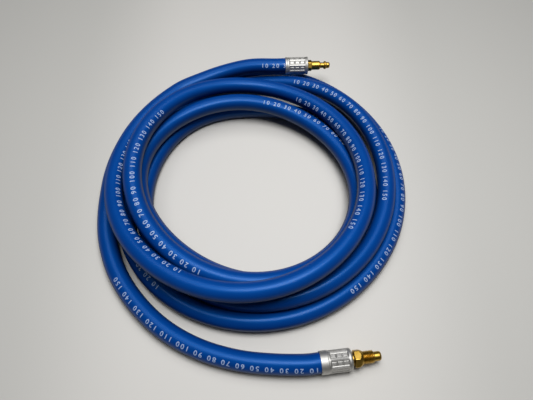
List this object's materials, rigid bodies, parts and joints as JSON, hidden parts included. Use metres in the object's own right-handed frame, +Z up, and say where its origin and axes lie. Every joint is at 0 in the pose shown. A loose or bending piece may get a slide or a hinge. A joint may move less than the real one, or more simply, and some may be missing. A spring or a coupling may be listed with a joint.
{
  "type": "coiled water hose assembly for a TIG torch",
  "caption": "Rubber cooling-water hose wound into a loose coil, with a crimped ferrule at each end, a quick plug on one and a swivelling male nut on the other.",
  "frame": {"origin": "on the resting surface, under the middle of the whole part's box", "axes": "+Z up, out of the coil; the plug end and the nut end both point along +X, the nut end on the -Y side"},
  "size_m": [0.2331, 0.2599, 0.0405],
  "materials": {
    "hose_rubber": "smooth extruded blue cover with a soft sheen",
    "ferrule_aluminium": "drawn and crimped, bright",
    "turned_brass": "turned, bare"
  },
  "bodies": {
    "hose": {"hose_coil": "hose_rubber", "hose_lead": "hose_rubber", "hose_tail": "hose_rubber", "plug_ferrule": "ferrule_aluminium", "quick_plug": "turned_brass", "nut_ferrule": "ferrule_aluminium", "swivel_nipple": "turned_brass"},
    "male_nut": {"male_nut": "turned_brass"}
  },
  "joints": [
    {"name": "nut_spin", "type": "hinge", "parent": "hose", "child": "male_nut", "pos_m": [0.06754, -0.11977, 0.00727], "axis": [0.9936, 0.1132, 0], "continuous": true}
  ]
}
